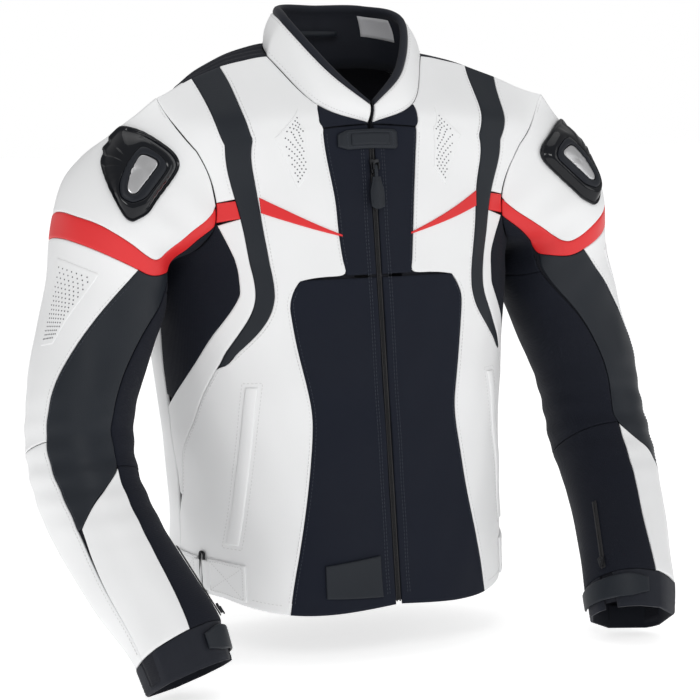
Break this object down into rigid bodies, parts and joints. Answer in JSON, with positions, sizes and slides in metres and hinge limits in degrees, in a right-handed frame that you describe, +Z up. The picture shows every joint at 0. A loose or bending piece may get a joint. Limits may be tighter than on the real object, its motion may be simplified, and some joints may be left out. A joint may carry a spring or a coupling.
{
  "type": "riding jacket",
  "caption": "Leather riding jacket with stand collar, front zip, shoulder cups, stretch gussets, pre-bent sleeves and strapped waist and cuffs.",
  "frame": {"origin": "middle of the gap behind the hanger loop, inside the nape", "axes": "+X to the wearer's left, +Y to the wearer's back, +Z up"},
  "size_m": [0.7906, 0.3946, 0.7306],
  "materials": {
    "white_leather": "semi-gloss",
    "charcoal_leather": "satin",
    "charcoal_fabric": "matte",
    "stretch_fabric": "matte",
    "red_leather": "satin",
    "neoprene": "matte",
    "lining": "matte",
    "foam": "matte",
    "black_plastic": "matte",
    "dark_metal": "satin",
    "gloss_cup": "gloss",
    "brushed_plate": "brushed"
  },
  "bodies": {
    "jacket": {"front_panel_left": "white_leather", "front_panel_right": "white_leather", "lower_centre_panels": "charcoal_fabric", "upper_plackets": "charcoal_leather", "shoulder_stripes": "charcoal_leather", "side_panels": "white_leather", "side_stretch_panels": "stretch_fabric", "shoulder_panels": "white_leather", "chest_flashes": "red_leather", "back_side_panels": "white_leather", "back_yoke": "white_leather", "back_centre_panel": "charcoal_leather", "accordion_panels": "stretch_fabric", "collar_shell": "white_leather", "collar_facing": "neoprene", "hanger_loop": "charcoal_leather", "body_lining": "lining", "back_pad": "foam", "front_zip_chain": "black_plastic", "waist_tabs": "white_leather", "waist_straps": "white_leather", "pocket_welts": "white_leather"},
    "zip_slider": {"front_zip_slider": "dark_metal"},
    "zip_puller": {"front_zip_puller": "charcoal_leather"},
    "neck_tab": {"collar_tab": "charcoal_leather"},
    "lower_tab": {"hem_tab": "charcoal_leather"},
    "buckle_left": {"waist_buckle_left": "dark_metal"},
    "buckle_right": {"waist_buckle_right": "dark_metal"},
    "upper_arm_left": {"sleeve_cap_left": "white_leather", "red_band_left": "red_leather", "underarm_gusset_left": "stretch_fabric", "upper_outer_left": "white_leather", "elbow_panel_left": "charcoal_leather", "elbow_gusset_left": "stretch_fabric", "shoulder_cup_left": "gloss_cup", "shoulder_plate_left": "brushed_plate", "shoulder_armour_left": "foam", "elbow_armour_left": "foam"},
    "forearm_left": {"forearm_outer_left": "white_leather", "forearm_front_left": "white_leather", "forearm_inner_left": "stretch_fabric", "cuff_left": "neoprene"},
    "wrist_strap_left": {"cuff_strap_left": "charcoal_leather"},
    "cuff_zip_left": {"cuff_zip_slider_left": "dark_metal"},
    "upper_arm_right": {"sleeve_cap_right": "white_leather", "red_band_right": "red_leather", "underarm_gusset_right": "stretch_fabric", "upper_outer_right": "white_leather", "elbow_panel_right": "charcoal_leather", "elbow_gusset_right": "stretch_fabric", "shoulder_cup_right": "gloss_cup", "shoulder_plate_right": "brushed_plate", "shoulder_armour_right": "foam", "elbow_armour_right": "foam"},
    "forearm_right": {"forearm_outer_right": "white_leather", "forearm_front_right": "white_leather", "forearm_inner_right": "stretch_fabric", "cuff_right": "neoprene"},
    "wrist_strap_right": {"cuff_strap_right": "charcoal_leather"},
    "cuff_zip_right": {"cuff_zip_slider_right": "dark_metal"}
  },
  "joints": [
    {"name": "front_zip", "type": "slide", "parent": "jacket", "child": "zip_slider", "axis": [0, 0.124, 0.9923], "range_m": [-0.452, 0]},
    {"name": "puller_lift", "type": "hinge", "parent": "zip_slider", "child": "zip_puller", "pos_m": [0, -0.14063, -0.14711], "axis": [-1, 0, 0], "range_deg": [0, 120]},
    {"name": "neck_tab_peel", "type": "hinge", "parent": "jacket", "child": "neck_tab", "pos_m": [0.032, -0.13289, -0.11804], "axis": [0, 0.124, 0.9923], "range_deg": [0, 100]},
    {"name": "hem_tab_peel", "type": "hinge", "parent": "jacket", "child": "lower_tab", "pos_m": [-0.02103, -0.1935, -0.60272], "axis": [-0.0005, 0.1207, 0.9927], "range_deg": [0, 100]},
    {"name": "buckle_left_tilt", "type": "hinge", "parent": "jacket", "child": "buckle_left", "pos_m": [0.19438, -0.09337, -0.60039], "axis": [0.0073, -0.0022, -1], "range_deg": [0, 20]},
    {"name": "buckle_right_tilt", "type": "hinge", "parent": "jacket", "child": "buckle_right", "pos_m": [-0.19438, -0.09337, -0.60039], "axis": [0.0073, 0.0022, 1], "range_deg": [0, 20]},
    {"name": "shoulder_left", "type": "hinge", "parent": "jacket", "child": "upper_arm_left", "pos_m": [0.248, -0.06115, -0.146], "axis": [-1, 0, 0], "range_deg": [-5, 10], "deforming": ["sleeve_cap_left", "red_band_left", "underarm_gusset_left"]},
    {"name": "elbow_left", "type": "hinge", "parent": "upper_arm_left", "child": "forearm_left", "pos_m": [0.33664, -0.08377, -0.44713], "axis": [-1, 0, 0], "range_deg": [-5, 12], "deforming": ["upper_outer_left", "elbow_panel_left", "elbow_gusset_left", "elbow_armour_left"]},
    {"name": "wrist_strap_peel_left", "type": "hinge", "parent": "forearm_left", "child": "wrist_strap_left", "pos_m": [0.24149, -0.21154, -0.65933], "axis": [-0.1451, -0.4966, -0.8558], "range_deg": [0, 40]},
    {"name": "cuff_zip_left", "type": "slide", "parent": "forearm_left", "child": "cuff_zip_left", "axis": [-0.2706, -0.6178, -0.7383], "range_m": [-0.0752, 0]},
    {"name": "shoulder_right", "type": "hinge", "parent": "jacket", "child": "upper_arm_right", "pos_m": [-0.248, -0.06115, -0.146], "axis": [-1, 0, 0], "range_deg": [-5, 10], "deforming": ["sleeve_cap_right", "red_band_right", "underarm_gusset_right"]},
    {"name": "elbow_right", "type": "hinge", "parent": "upper_arm_right", "child": "forearm_right", "pos_m": [-0.33664, -0.08377, -0.44713], "axis": [-1, 0, 0], "range_deg": [-5, 12], "deforming": ["upper_outer_right", "elbow_panel_right", "elbow_gusset_right", "elbow_armour_right"]},
    {"name": "wrist_strap_peel_right", "type": "hinge", "parent": "forearm_right", "child": "wrist_strap_right", "pos_m": [-0.24149, -0.21154, -0.65933], "axis": [-0.1451, 0.4966, 0.8558], "range_deg": [0, 40]},
    {"name": "cuff_zip_right", "type": "slide", "parent": "forearm_right", "child": "cuff_zip_right", "axis": [0.2706, -0.6178, -0.7383], "range_m": [-0.0752, 0]}
  ]
}
